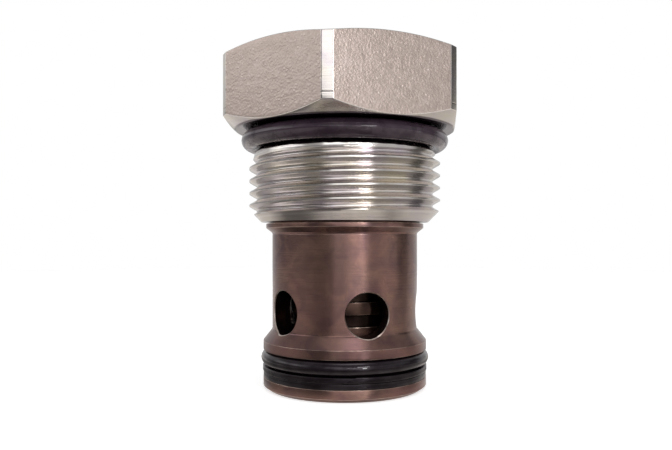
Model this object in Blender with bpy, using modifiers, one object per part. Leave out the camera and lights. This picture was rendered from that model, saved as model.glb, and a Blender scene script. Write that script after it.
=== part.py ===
"""Screw-in poppet check cartridge: hexagon plug, ported cage, poppet, closing spring, shim and seals.

Frame: metres, +Z along the valve's axis towards the hexagon, origin at the centre of the nose end face.
Two flats of the hexagon face +X and -X.
"""
import math

import bmesh
import bpy
from mathutils import Matrix, Vector

MM = 0.001

# ---------------------------------------------------------------- driving dimensions, in millimetres
# heights along the axis, from the nose end face
Z_TOP = 57.1              # top of the hexagon
Z_SEAT = 44.4             # underside of the hexagon, which meets the manifold
Z_BODY_END = 28.65        # lower end face of the threaded shank
Z_COUNTERBORE = 37.0      # bottom of the bore that takes the cage, and the poppet's stop
Z_SPRING_BORE = 47.0      # bottom of the spring chamber

# hexagon
HEX_FLATS = 38.1          # across flats, 1 1/2 in
HEX_TURNED_R = 21.5       # corners are turned down to this radius
HEX_TOP_FLAT_R = 19.0     # circle where the top chamfer starts
HEX_TOP_DROP = 1.0        # height lost at the corners
SEAT_R = 18.85            # flat ring under the hexagon
SEAT_CHAMFER_DEG = 31.0

# thread 1 5/16-12 UN, right hand
THREAD_MAJOR_R = 16.67
THREAD_PITCH = 25.4 / 12.0
THREAD_DEPTH = 0.6134 * THREAD_PITCH
THREAD_CREST = THREAD_PITCH / 8.0
THREAD_FLANK = math.tan(math.radians(30.0))
THREAD_CORE_R = THREAD_MAJOR_R - THREAD_DEPTH + 0.03
THREAD_CREST_Z0 = 28.19   # height of the crest on the +X side
THREAD_TOP_Z = 39.25      # full thread ends here, then runs down a 45 degree chamfer
SHANK_END_R = 14.6
NECK_R = 14.8             # seal neck between thread and hexagon

# cage
SPIGOT_R = 12.7
COUNTERBORE_R = 13.0
COLLAR_R = 13.75
CAGE_R = 12.67
NOSE_R = 14.22
GROOVE_R = 11.75
GROOVE_Z = (2.1, 6.7)
NOSE_TOP_Z = 8.4
FLARE_TOP_Z = 10.35
COLLAR_Z = (26.75, 27.65, 28.35)
INLET_R = 8.25
GUIDE_R = 9.65
SEAT_STEP_Z = 8.9
WINDOW_COUNT = 5
WINDOW_D = 7.35
WINDOW_Z = 13.47
WINDOW_FIRST_DEG = 24.1   # from -Y towards +X

# poppet
POPPET_R = 9.45
POPPET_POCKET_R = 7.0
POPPET_FLOOR_Z = 14.0
POPPET_NOSE_Z = 7.9
POPPET_TRAVEL = 4.5
POPPET_TOP_Z = Z_COUNTERBORE - 0.3 - POPPET_TRAVEL
VENT_D = 1.6
VENT_Z = 16.3

# spring and shim
SPRING_BORE_R = 8.5
WIRE_D = 1.2
SPRING_MEAN_R = 5.75
SHIM_T = 1.0
SPRING_TURNS = 8.0

# seals
THREAD_RING_D = 2.95
THREAD_RING_OUTER_R = 18.05
THREAD_RING_Z = 42.62
NOSE_RING_D = 2.4
NOSE_RING_OUTER_R = 14.64
NOSE_RING_Z = 5.25
BACKUP_T = 0.75

GAP = 0.3                 # clearance kept between pieces that touch in the real valve

# ---------------------------------------------------------------- scene set-up
for old in list(bpy.data.objects):
    bpy.data.objects.remove(old, do_unlink=True)


def collection(name):
    found = bpy.data.collections.get(name) or bpy.data.collections.new(name)
    if found.name not in bpy.context.scene.collection.children:
        bpy.context.scene.collection.children.link(found)
    return found


PARTS = collection("cartridge_valve")
CUTTERS = collection("cutters")


def material(name, colour, roughness, metallic):
    made = bpy.data.materials.new(name)
    made.use_nodes = True
    shader = made.node_tree.nodes["Principled BSDF"]
    shader.inputs["Base Color"].default_value = (*colour, 1.0)
    shader.inputs["Roughness"].default_value = roughness
    shader.inputs["Metallic"].default_value = metallic
    return made


ZINC = material("zinc_plate", (0.66, 0.62, 0.57), 0.35, 1.0)
PHOSPHATE = material("brown_phosphate", (0.20, 0.13, 0.10), 0.42, 0.8)
POPPET_STEEL = material("poppet_steel", (0.17, 0.11, 0.08), 0.40, 0.8)
SPRING_STEEL = material("spring_steel", (0.50, 0.50, 0.52), 0.30, 1.0)
SHIM_STEEL = material("shim_steel", (0.55, 0.55, 0.56), 0.35, 1.0)
RUBBER = material("black_rubber", (0.02, 0.018, 0.022), 0.35, 0.0)
BACKUP = material("black_backup", (0.022, 0.020, 0.022), 0.40, 0.0)
NOSE_RUBBER = material("nose_rubber", (0.02, 0.018, 0.020), 0.35, 0.0)
BACKUP_LOW = material("black_backup_lower", (0.022, 0.020, 0.022), 0.40, 0.0)


# ---------------------------------------------------------------- modelling helpers
def add_object(name, mesh, coll, mat=None):
    obj = bpy.data.objects.new(name, mesh)
    coll.objects.link(obj)
    if mat:
        obj.data.materials.append(mat)
    if coll is CUTTERS:
        obj.hide_render = True
        obj.display_type = "WIRE"
    return obj


def turned(name, points, coll, steps, mat=None):
    """Turn a closed or axis-to-axis profile of (radius, height) points, in mm, about Z."""
    mesh = bpy.data.meshes.new(name)
    bm = bmesh.new()
    verts = [bm.verts.new((r * MM, 0.0, z * MM)) for r, z in points]
    for a, b in zip(verts, verts[1:]):
        bm.edges.new((a, b))
    if points[0][0] > 1e-6:
        bm.edges.new((verts[-1], verts[0]))
    bm.to_mesh(mesh)
    bm.free()
    obj = add_object(name, mesh, coll, mat)
    screw = obj.modifiers.new("turn", "SCREW")
    screw.axis = "Z"
    screw.angle = 2.0 * math.pi
    screw.steps = steps
    screw.render_steps = steps
    screw.use_merge_vertices = True
    screw.merge_threshold = 0.00002
    return obj


def boolean(obj, tool, operation):
    mod = obj.modifiers.new(operation.lower() + "_" + tool.name, "BOOLEAN")
    mod.operation = operation
    mod.solver = "EXACT"
    mod.object = tool
    return mod


def frozen(obj, name, coll, mat=None):
    """Replace an object by its evaluated mesh, welded into one closed body."""
    bpy.context.view_layer.update()
    graph = bpy.context.evaluated_depsgraph_get()
    mesh = bpy.data.meshes.new_from_object(obj.evaluated_get(graph))
    matrix = obj.matrix_world.copy()
    bm = bmesh.new()
    bm.from_mesh(mesh)
    bmesh.ops.remove_doubles(bm, verts=bm.verts, dist=0.000002)
    bmesh.ops.recalc_face_normals(bm, faces=bm.faces)
    bm.to_mesh(mesh)
    bm.free()
    bpy.data.objects.remove(obj, do_unlink=True)
    mesh.materials.clear()
    out = add_object(name, mesh, coll, mat)
    out.matrix_world = matrix
    return out


def smooth(obj, degrees=30.0):
    obj.data.shade_smooth()
    obj.data.set_sharp_from_angle(angle=math.radians(degrees))


def direction(degrees):
    """Unit vector across the axis, at an angle from -Y towards +X."""
    a = math.radians(degrees)
    return Vector((math.sin(a), -math.cos(a), 0.0))


def radial_drill(name, degrees, diameter, height, r_from, r_to, vertices):
    bpy.ops.mesh.primitive_cylinder_add(vertices=vertices, radius=diameter * MM / 2.0,
                                        depth=(r_to - r_from) * MM)
    obj = bpy.context.active_object
    obj.name = name
    way = direction(degrees)
    obj.matrix_world = (Matrix.Translation(way * (r_from + r_to) / 2.0 * MM + Vector((0, 0, height * MM)))
                        @ way.to_track_quat("Z", "Y").to_matrix().to_4x4())
    for coll in list(obj.users_collection):
        coll.objects.unlink(obj)
    CUTTERS.objects.link(obj)
    obj.hide_render = True
    obj.display_type = "WIRE"
    return obj


def chamfer_at(r, z_ref, r_ref, rising):
    """Height on a 45 degree turned chamfer through (r_ref, z_ref), where radius grows upward or downward."""
    return z_ref + (r - r_ref if rising else r_ref - r)


# ---------------------------------------------------------------- hexagon plug
def hexagon_head():
    bpy.ops.mesh.primitive_cylinder_add(vertices=6, radius=HEX_FLATS / math.sqrt(3.0) * MM,
                                        depth=(Z_TOP - Z_SEAT + 6.0) * MM,
                                        location=(0, 0, (Z_TOP + Z_SEAT) / 2.0 * MM))
    prism = bpy.context.active_object
    for coll in list(prism.users_collection):
        coll.objects.unlink(prism)
    CUTTERS.objects.link(prism)
    rise = (HEX_TURNED_R - SEAT_R) * math.tan(math.radians(SEAT_CHAMFER_DEG))
    envelope = turned("head_envelope", [
        (0.0, Z_TOP), (HEX_TOP_FLAT_R, Z_TOP), (HEX_TURNED_R, Z_TOP - HEX_TOP_DROP),
        (HEX_TURNED_R, Z_SEAT + rise), (SEAT_R, Z_SEAT), (0.0, Z_SEAT)], CUTTERS, 60)
    boolean(prism, envelope, "INTERSECT")
    head = frozen(prism, "head_blank", CUTTERS)
    return head


def thread_ridge():
    """A right-hand helical ridge of 60 degree section, trimmed to the shank's turned envelope."""
    per_turn = 32
    base_r = THREAD_CORE_R - 0.12
    half_crest = THREAD_CREST / 2.0
    half_base = half_crest + (THREAD_MAJOR_R - base_r) * THREAD_FLANK
    start = THREAD_CREST_Z0 - THREAD_PITCH
    turns = math.ceil((THREAD_TOP_Z + 3.5 - start) / THREAD_PITCH)
    bm = bmesh.new()
    corners = [(base_r, -half_base), (THREAD_MAJOR_R, -half_crest), (THREAD_MAJOR_R, half_crest), (base_r, half_base)]
    first = [bm.verts.new((r * MM, 0.0, (start + z) * MM)) for r, z in corners]
    edges = [bm.edges.new((first[i], first[(i + 1) % 4])) for i in range(4)]
    made = bmesh.ops.spin(bm, geom=first + edges, cent=(0, 0, 0), axis=(0, 0, 1),
                          dvec=(0, 0, THREAD_PITCH / per_turn * MM), angle=2.0 * math.pi * turns,
                          steps=per_turn * turns, use_merge=False, use_duplicate=False)
    last = [g for g in made["geom_last"] if isinstance(g, bmesh.types.BMVert)]
    bmesh.ops.contextual_create(bm, geom=first)
    bmesh.ops.contextual_create(bm, geom=last)
    bmesh.ops.recalc_face_normals(bm, faces=bm.faces)
    mesh = bpy.data.meshes.new("thread_ridge")
    bm.to_mesh(mesh)
    bm.free()
    ridge = add_object("thread_ridge", mesh, CUTTERS)
    low_z = chamfer_at(THREAD_CORE_R - 0.6, Z_BODY_END, SHANK_END_R, True)
    envelope = turned("thread_envelope", [
        (THREAD_CORE_R - 0.6, chamfer_at(THREAD_CORE_R - 0.6, THREAD_TOP_Z, THREAD_MAJOR_R, False)),
        (THREAD_MAJOR_R + 0.4, THREAD_TOP_Z - 0.4),
        (THREAD_MAJOR_R + 0.4, chamfer_at(THREAD_MAJOR_R + 0.4, Z_BODY_END, SHANK_END_R, True)),
        (THREAD_CORE_R - 0.6, low_z)], CUTTERS, 44)
    boolean(ridge, envelope, "INTERSECT")
    return frozen(ridge, "thread_blank", CUTTERS)


def hex_body():
    shank = turned("shank", [
        (0.0, Z_SEAT + 2.0), (NECK_R, Z_SEAT + 2.0),
        (NECK_R, chamfer_at(NECK_R, THREAD_TOP_Z, THREAD_MAJOR_R, False)),
        (THREAD_CORE_R, chamfer_at(THREAD_CORE_R, THREAD_TOP_Z, THREAD_MAJOR_R, False)),
        (THREAD_CORE_R, chamfer_at(THREAD_CORE_R, Z_BODY_END, SHANK_END_R, True)),
        (SHANK_END_R, Z_BODY_END), (0.0, Z_BODY_END)], PARTS, 44)
    bore = turned("plug_bore", [
        (0.0, Z_SPRING_BORE), (SPRING_BORE_R - 0.3, Z_SPRING_BORE), (SPRING_BORE_R, Z_SPRING_BORE - 0.3),
        (SPRING_BORE_R, Z_COUNTERBORE), (COUNTERBORE_R, Z_COUNTERBORE),
        (COUNTERBORE_R, Z_BODY_END + 0.4), (COUNTERBORE_R + 0.4, Z_BODY_END), (COUNTERBORE_R + 0.4, Z_BODY_END - 2.0),
        (0.0, Z_BODY_END - 2.0)], CUTTERS, 44)
    boolean(shank, thread_ridge(), "UNION")
    boolean(shank, hexagon_head(), "UNION")
    boolean(shank, bore, "DIFFERENCE")
    return shank


# ---------------------------------------------------------------- cage
def cage():
    low, high = GROOVE_Z
    taper, collar, shoulder = COLLAR_Z
    top = Z_COUNTERBORE - GAP
    profile = [
        (GUIDE_R + 0.35, top), (SPIGOT_R - 0.5, top), (SPIGOT_R, top - 0.5), (SPIGOT_R, shoulder),
        (COLLAR_R, shoulder), (COLLAR_R, collar), (CAGE_R, taper), (CAGE_R, FLARE_TOP_Z),
        (NOSE_R, NOSE_TOP_Z), (NOSE_R, high), (GROOVE_R, high), (GROOVE_R, low), (NOSE_R, low),
        (NOSE_R, 0.65), (NOSE_R - 0.65, 0.0), (INLET_R + 0.5, 0.0), (INLET_R, 0.5),
        (INLET_R, INLET_R), (SEAT_STEP_Z, SEAT_STEP_Z), (GUIDE_R, SEAT_STEP_Z),
        (GUIDE_R, top - 0.35)]
    sleeve = turned("cage", profile, PARTS, 48, PHOSPHATE)
    for i in range(WINDOW_COUNT):
        drill = radial_drill("window_drill_%d" % (i + 1), WINDOW_FIRST_DEG + i * 360.0 / WINDOW_COUNT,
                             WINDOW_D, WINDOW_Z, INLET_R - 3.0, NOSE_R + 3.0, 28)
        boolean(sleeve, drill, "DIFFERENCE")
    return sleeve


# ---------------------------------------------------------------- poppet
def poppet_body():
    r, groove, balance = POPPET_R, POPPET_R - 0.75, POPPET_R - 0.4
    cone_top = r + GAP                      # the 45 degree nose runs parallel to the seat, one gap above it
    profile = [
        (0.0, POPPET_FLOOR_Z), (POPPET_POCKET_R - 0.4, POPPET_FLOOR_Z), (POPPET_POCKET_R, POPPET_FLOOR_Z + 0.4),
        (POPPET_POCKET_R, POPPET_TOP_Z - 0.6), (POPPET_POCKET_R + 0.6, POPPET_TOP_Z),
        (r - 0.3, POPPET_TOP_Z), (r, POPPET_TOP_Z - 0.3),
        (r, 25.7), (balance, 25.55), (balance, 25.05), (r, 24.9),
        (r, 21.7), (balance, 21.55), (balance, 21.05), (r, 20.9),
        (r, 17.25), (groove, 17.1), (groove, 15.5), (r, 15.35),
        (r, 13.25), (groove, 13.1), (groove, 11.45), (r, 11.3),
        (r, cone_top), (POPPET_NOSE_Z - GAP, POPPET_NOSE_Z), (0.0, POPPET_NOSE_Z)]
    body = turned("poppet", profile, PARTS, 40, POPPET_STEEL)
    for i in range(2):
        drill = radial_drill("vent_drill_%d" % (i + 1), WINDOW_FIRST_DEG + 144.0 + 180.0 * i,
                             VENT_D, VENT_Z, POPPET_POCKET_R - 1.5, POPPET_R + 2.0, 14)
        boolean(body, drill, "DIFFERENCE")
    return body


# ---------------------------------------------------------------- closing spring
def coil():
    """A compression spring with one closed turn at each end, as a swept wire."""
    bottom = POPPET_FLOOR_Z + GAP + WIRE_D / 2.0
    top = Z_SPRING_BORE - 2.0 * GAP - SHIM_T - WIRE_D / 2.0
    closed = 1.0                                   # closed turns at each end
    closed_pitch = WIRE_D + 0.1
    free_turns = SPRING_TURNS - 2.0 * closed
    free_pitch = (top - bottom - 2.0 * closed * closed_pitch) / free_turns
    per_turn = 15
    count = int(SPRING_TURNS * per_turn)
    curve = bpy.data.curves.new("spring", "CURVE")
    curve.dimensions = "3D"
    curve.bevel_depth = WIRE_D / 2.0 * MM
    curve.bevel_resolution = 2
    curve.use_fill_caps = True
    spline = curve.splines.new("POLY")
    spline.points.add(count)
    for i in range(count + 1):
        turn = i / per_turn
        z = bottom + closed_pitch * min(turn, closed)
        z += free_pitch * min(max(turn - closed, 0.0), free_turns)
        z += closed_pitch * max(turn - closed - free_turns, 0.0)
        a = 2.0 * math.pi * turn
        spline.points[i].co = (SPRING_MEAN_R * math.cos(a) * MM, SPRING_MEAN_R * math.sin(a) * MM, z * MM, 1.0)
    obj = bpy.data.objects.new("spring_path", curve)
    PARTS.objects.link(obj)
    return frozen(obj, "spring", PARTS, SPRING_STEEL)


# ---------------------------------------------------------------- rings
def o_ring(name, section, outer_r, height, mat):
    bpy.ops.mesh.primitive_torus_add(major_segments=44, minor_segments=12,
                                     major_radius=(outer_r - section / 2.0) * MM,
                                     minor_radius=section / 2.0 * MM, location=(0, 0, height * MM))
    ring = bpy.context.active_object
    ring.name = name
    ring.data.name = name
    for coll in list(ring.users_collection):
        coll.objects.unlink(ring)
    PARTS.objects.link(ring)
    ring.data.materials.append(mat)
    return ring


def flat_ring(name, inner_r, outer_r, low, high, chamfer, mat):
    return turned(name, [
        (inner_r, high), (outer_r - chamfer, high), (outer_r, high - chamfer),
        (outer_r, low + chamfer), (outer_r - chamfer, low), (inner_r, low)], PARTS, 44, mat)


# ---------------------------------------------------------------- the assembly
body = hex_body()
body.data.materials.append(ZINC)
body.name = "hex_body"
body.data.name = "hex_body"

sleeve = cage()

lift = bpy.data.objects.new("poppet_axis", None)
PARTS.objects.link(lift)
plunger = poppet_body()
plunger.parent = lift

wire = coil()
shim_top = Z_SPRING_BORE - GAP
shim = flat_ring("preload_shim", 4.0, 7.9, shim_top - SHIM_T, shim_top, 0.12, SHIM_STEEL)

seal = o_ring("thread_o_ring", THREAD_RING_D, THREAD_RING_OUTER_R, THREAD_RING_Z, RUBBER)
nose = o_ring("nose_o_ring", NOSE_RING_D, NOSE_RING_OUTER_R, NOSE_RING_Z, NOSE_RUBBER)
low = GROOVE_Z[0] + 0.15
flat_ring("nose_backup_ring_lower", GROOVE_R + 0.25, 14.2, low, low + BACKUP_T, 0.08, BACKUP_LOW)
low += BACKUP_T + 0.15
flat_ring("nose_backup_ring_upper", GROOVE_R + 0.25, 14.32, low, low + BACKUP_T, 0.12, BACKUP)

for obj in list(PARTS.objects):
    if obj.type == "MESH":
        smooth(obj)
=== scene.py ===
import math

import bmesh
import bpy
import numpy as np
from mathutils import Matrix, Vector, noise


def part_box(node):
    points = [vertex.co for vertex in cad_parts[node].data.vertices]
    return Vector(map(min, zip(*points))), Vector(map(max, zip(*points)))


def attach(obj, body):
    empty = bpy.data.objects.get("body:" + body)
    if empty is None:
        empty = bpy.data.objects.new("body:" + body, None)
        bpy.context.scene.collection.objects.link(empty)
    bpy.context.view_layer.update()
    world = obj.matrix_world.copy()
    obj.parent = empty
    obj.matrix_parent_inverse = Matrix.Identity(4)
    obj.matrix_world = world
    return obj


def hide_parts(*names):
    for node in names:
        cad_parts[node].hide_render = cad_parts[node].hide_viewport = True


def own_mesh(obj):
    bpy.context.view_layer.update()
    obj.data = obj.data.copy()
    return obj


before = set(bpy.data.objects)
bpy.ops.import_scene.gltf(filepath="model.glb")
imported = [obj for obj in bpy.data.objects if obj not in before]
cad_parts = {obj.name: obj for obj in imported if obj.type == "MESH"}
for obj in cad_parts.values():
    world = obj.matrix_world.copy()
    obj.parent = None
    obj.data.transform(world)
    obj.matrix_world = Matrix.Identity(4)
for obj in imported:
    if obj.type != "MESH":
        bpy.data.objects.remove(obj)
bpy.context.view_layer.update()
MM = 0.001
scene = bpy.context.scene

# ------------------------------------------------------------------ sizes carried over from the CAD, in millimetres
BODY_LO, BODY_HI = (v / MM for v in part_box("hex_body"))
CAGE_LO, CAGE_HI = (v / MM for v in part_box("cage"))
Z_TOP, Z_BODY_END = BODY_HI.z, BODY_LO.z
HEX_HALF = BODY_HI.x                  # half the distance across flats
HEX_TURNED_R = BODY_HI.y              # turned corner radius
Z_SEAT, Z_COUNTERBORE, Z_SPRING_BORE = 44.4, 37.0, 47.0
SEAT_R, HEX_TOP_FLAT_R, HEX_TOP_DROP = 18.85, 19.0, 1.0
MAJOR_R, PITCH = 16.67, 25.4 / 12.0
CREST_Z0 = 28.19
SHANK_END_R, NECK_R = 14.6, 14.8
THREAD_TOP = [(38.90, 16.67), (39.35, 16.02), (40.18, 15.80), (40.50, 15.78), (41.50, NECK_R)]      # height and greatest radius
COUNTERBORE_R, SPRING_BORE_R = 13.0, 8.5
SPIGOT_R, COLLAR_R, CAGE_R, NOSE_R, GROOVE_R = 12.7, 13.75, 12.67, CAGE_HI.x, 11.75
GUIDE_R, INLET_R, SEAT_STEP_Z = 9.65, 8.25, 8.9
WINDOW_COUNT, WINDOW_D, WINDOW_Z, WINDOW_FIRST = 5, 7.35, 13.47, 24.1
POPPET_R, POCKET_R, POCKET_Z, POPPET_NOSE_Z = 9.45, 7.0, 14.0, 7.9
POPPET_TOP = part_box("poppet")[1].z / MM

CAMERA_AZIMUTH = 6.8                  # from -Y towards +X
CAMERA_DISTANCE = 120.0
CAMERA_HEIGHT = 25.37
FOCAL_PX = 681.0


def across(degrees):
    a = math.radians(degrees)
    return Vector((math.sin(a), -math.cos(a), 0.0))


# ------------------------------------------------------------------ mesh helpers
def rounded(points, steps=5):
    """A polyline of (r, z, fillet) turned into (r, z, edge) points; edge is 1 on convex fillets, where plating wears
    and where the phosphate gets a painted highlight.
    """
    out = []
    n = len(points)
    for i, (r, z, f) in enumerate(points):
        if i in (0, n - 1) or f <= 0:
            out.append((r, z, 0.0))
            continue
        p, a, b = Vector((r, z)), Vector(points[i - 1][:2]), Vector(points[i + 1][:2])
        u, v = a - p, b - p
        lu, lv = u.length, v.length
        if lu < 1e-6 or lv < 1e-6:
            out.append((r, z, 0.0))
            continue
        u, v = u / lu, v / lv
        half = math.acos(max(-1.0, min(1.0, u.dot(v)))) / 2.0
        if half < 0.02 or half > math.pi / 2 - 0.02:
            out.append((r, z, 0.0))
            continue
        t = min(f / math.tan(half), 0.45 * lu, 0.45 * lv)
        rad = t * math.tan(half)
        centre = p + (u + v).normalized() * (rad / math.sin(half))
        d0, d1 = (p + u * t) - centre, (p + v * t) - centre
        a0, a1 = math.atan2(d0.y, d0.x), math.atan2(d1.y, d1.x)
        sweep = (a1 - a0 + math.pi) % (2 * math.pi) - math.pi
        convex = 1.0 if sweep < 0 else 0.0
        for k in range(steps + 1):
            a = a0 + sweep * k / steps
            out.append((centre.x + rad * math.cos(a), centre.y + rad * math.sin(a), convex if 0 < k < steps else 0.0))
    return out


def dense(points, longest, low=-1e9, high=1e9):
    """Split the segments of a profile that are longer than longest, between two heights."""
    out = [points[0]]
    for a, b in zip(points, points[1:]):
        length = math.hypot(b[0] - a[0], b[1] - a[1])
        inside = min(a[1], b[1]) < high and max(a[1], b[1]) > low
        n = max(1, math.ceil(length / longest)) if inside else 1
        for k in range(1, n + 1):
            t = k / n
            out.append((a[0] + (b[0] - a[0]) * t, a[1] + (b[1] - a[1]) * t, b[2] if k == n else 0.0))
    return out


def skin(name, rings, closed=False, layers=None):
    """A closed surface through rings of points (rows x columns x 3, mm). Doubled points are welded."""
    rows, cols, _ = rings.shape
    idx = np.arange(rows * cols).reshape(rows, cols)
    faces = []
    last = rows if closed else rows - 1
    for j in range(last):
        k = (j + 1) % rows
        for i in range(cols):
            h = (i + 1) % cols
            faces.append((idx[j, i], idx[j, h], idx[k, h], idx[k, i]))
    return finish_mesh(name, rings.reshape(-1, 3), faces, layers)


def finish_mesh(name, points, faces, layers=None, weld=0.0002):
    """Weld, drop degenerate faces, face outwards."""
    mesh = bpy.data.meshes.new(name)
    mesh.from_pydata([tuple(p * MM) for p in np.asarray(points, float)], [], [tuple(int(i) for i in f) for f in faces])
    for key, values in (layers or {}).items():
        layer = mesh.attributes.new(key, "FLOAT", "POINT")
        layer.data.foreach_set("value", np.asarray(values, np.float32).ravel())
    bm = bmesh.new()
    bm.from_mesh(mesh)
    bmesh.ops.remove_doubles(bm, verts=bm.verts, dist=weld * MM)
    bmesh.ops.dissolve_degenerate(bm, dist=weld * MM * 0.5, edges=bm.edges)
    loose = [v for v in bm.verts if not v.link_faces]
    if loose:
        bmesh.ops.delete(bm, geom=loose, context="VERTS")
    bmesh.ops.recalc_face_normals(bm, faces=bm.faces)
    if bm.calc_volume(signed=True) < 0:
        bmesh.ops.reverse_faces(bm, faces=bm.faces)
    bm.to_mesh(mesh)
    bm.free()
    obj = bpy.data.objects.new(name, mesh)
    scene.collection.objects.link(obj)
    return obj


def smooth(obj, degrees=35.0):
    obj.data.shade_smooth()
    obj.data.set_sharp_from_angle(angle=math.radians(degrees))


def lathe(name, profile, steps, closed=True, ripple=None):
    """Turn (r, z, edge) points about Z. closed joins the last point to the first."""
    cols = 2.0 * math.pi * np.arange(steps) / steps
    rings = np.zeros((len(profile), steps, 3))
    edge = np.zeros((len(profile), steps))
    for j, (r, z, e) in enumerate(profile):
        rr = np.full(steps, r) if ripple is None else r + ripple(cols, r, z)
        rings[j, :, 0], rings[j, :, 1], rings[j, :, 2] = rr * np.cos(cols), rr * np.sin(cols), z
        edge[j] = e
    return skin(name, rings, closed=closed, layers={"edge": edge})


def cut(obj, tool, operation="DIFFERENCE"):
    """Boolean applied straight away; the tool is removed."""
    mod = obj.modifiers.new("cut", "BOOLEAN")
    mod.operation, mod.solver, mod.object = operation, "EXACT", tool
    mod.material_mode = "TRANSFER"
    bpy.context.view_layer.update()
    mesh = bpy.data.meshes.new_from_object(obj.evaluated_get(bpy.context.evaluated_depsgraph_get()))
    obj.modifiers.clear()
    old = obj.data
    obj.data = mesh
    mesh.name = old.name + "_cut"
    bpy.data.meshes.remove(old)
    bpy.data.objects.remove(tool, do_unlink=True)
    bm = bmesh.new()
    bm.from_mesh(mesh)
    bmesh.ops.remove_doubles(bm, verts=bm.verts, dist=2e-7)
    bmesh.ops.dissolve_degenerate(bm, dist=1e-7, edges=bm.edges)
    bm.to_mesh(mesh)
    bm.free()
    return obj


def smin(a, b, k):
    h = np.clip(0.5 + 0.5 * (b - a) / k, 0.0, 1.0)
    return b * (1 - h) + a * h - k * h * (1 - h)


def smax(a, b, k):
    return -smin(-a, -b, k)


# ------------------------------------------------------------------ material nodes
class Nodes:
    """A short way to write a node tree."""

    def __init__(self, name):
        self.mat = bpy.data.materials.new(name)
        self.mat.use_nodes = True
        self.t = self.mat.node_tree
        self.bsdf = self.t.nodes["Principled BSDF"]

    def new(self, kind, **values):
        node = self.t.nodes.new(kind)
        for k, v in values.items():
            setattr(node, k, v)
        return node

    def put(self, value, socket):
        if isinstance(value, bpy.types.NodeSocket):
            self.t.links.new(value, socket)
        elif value is not None:
            socket.default_value = value
        return socket

    def math(self, op, a, b=None, c=None, clamp=False):
        node = self.new("ShaderNodeMath", operation=op, use_clamp=clamp)
        for v, s in zip((a, b, c), node.inputs):
            self.put(v, s)
        return node.outputs[0]

    def mix(self, factor, a, b, blend="MIX"):
        node = self.new("ShaderNodeMix", data_type="RGBA", blend_type=blend)
        self.put(factor, node.inputs[0])
        self.put(a, node.inputs[6])
        self.put(b, node.inputs[7])
        return node.outputs[2]

    def lerp(self, factor, a, b):
        node = self.new("ShaderNodeMix", data_type="FLOAT")
        self.put(factor, node.inputs[0])
        self.put(a, node.inputs[2])
        self.put(b, node.inputs[3])
        return node.outputs[0]

    def ramp(self, value, stops, mode="LINEAR"):
        node = self.new("ShaderNodeValToRGB")
        node.color_ramp.interpolation = mode
        self.put(value, node.inputs[0])
        el = node.color_ramp.elements
        while len(el) < len(stops):
            el.new(0.5)
        for e, (p, c) in zip(el, stops):
            e.position = p
            e.color = (*c, 1.0) if len(c) == 3 else c
        return node.outputs[0]

    def attribute(self, name):
        return self.new("ShaderNodeAttribute", attribute_name=name).outputs["Fac"]

    def place(self):
        """Position in the piece, in metres, and the distance from the axis."""
        co = self.new("ShaderNodeTexCoord").outputs["Object"]
        sep = self.new("ShaderNodeSeparateXYZ")
        self.put(co, sep.inputs[0])
        x, y, z = sep.outputs
        r = self.math("SQRT", self.math("ADD", self.math("MULTIPLY", x, x), self.math("MULTIPLY", y, y)))
        return co, x, y, z, r

    def vector(self, x, y, z):
        node = self.new("ShaderNodeCombineXYZ")
        for v, s in zip((x, y, z), node.inputs):
            self.put(v, s)
        return node.outputs[0]

    def noise(self, vector, scale, detail=2.0, rough=0.5, distortion=0.0):
        node = self.new("ShaderNodeTexNoise")
        self.put(vector, node.inputs["Vector"])
        node.inputs["Scale"].default_value = scale
        node.inputs["Detail"].default_value = detail
        node.inputs["Roughness"].default_value = rough
        node.inputs["Distortion"].default_value = distortion
        return node.outputs["Fac"]

    def voronoi(self, vector, scale, feature="F1", smoothness=0.5):
        node = self.new("ShaderNodeTexVoronoi", feature=feature)
        self.put(vector, node.inputs["Vector"])
        node.inputs["Scale"].default_value = scale
        if "Smoothness" in node.inputs and feature == "SMOOTH_F1":
            node.inputs["Smoothness"].default_value = smoothness
        return node.outputs["Distance"]

    def lathe_marks(self, x, y, z, r, width, drift=0.02):
        """Fine lines that run round the axis, on faces and cylinders alike."""
        k = 1.0 / (width * MM)
        v = self.vector(self.math("ADD", self.math("MULTIPLY", r, k), self.math("MULTIPLY", x, k * drift)),
                        self.math("MULTIPLY", y, k * drift), self.math("MULTIPLY", z, k))
        return self.noise(v, 1.0, 3.0, 0.6)

    def bump(self, height, distance, strength=1.0, normal=None):
        node = self.new("ShaderNodeBump")
        self.put(height, node.inputs["Height"])
        node.inputs["Distance"].default_value = distance * MM
        self.put(strength, node.inputs["Strength"])
        if normal is not None:
            self.put(normal, node.inputs["Normal"])
        return node.outputs["Normal"]

    def set(self, **values):
        for k, v in values.items():
            self.put(v, self.bsdf.inputs[k.replace("_", " ")])

    def around_axis(self, amount):
        """Turned metal: reflections stretch along the axis, across the tool marks."""
        tangent = self.new("ShaderNodeTangent", direction_type="RADIAL", axis="Z")
        self.put(amount, self.bsdf.inputs["Anisotropic"])
        self.bsdf.inputs["Anisotropic Rotation"].default_value = 0.25
        self.put(tangent.outputs[0], self.bsdf.inputs["Tangent"])


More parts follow.
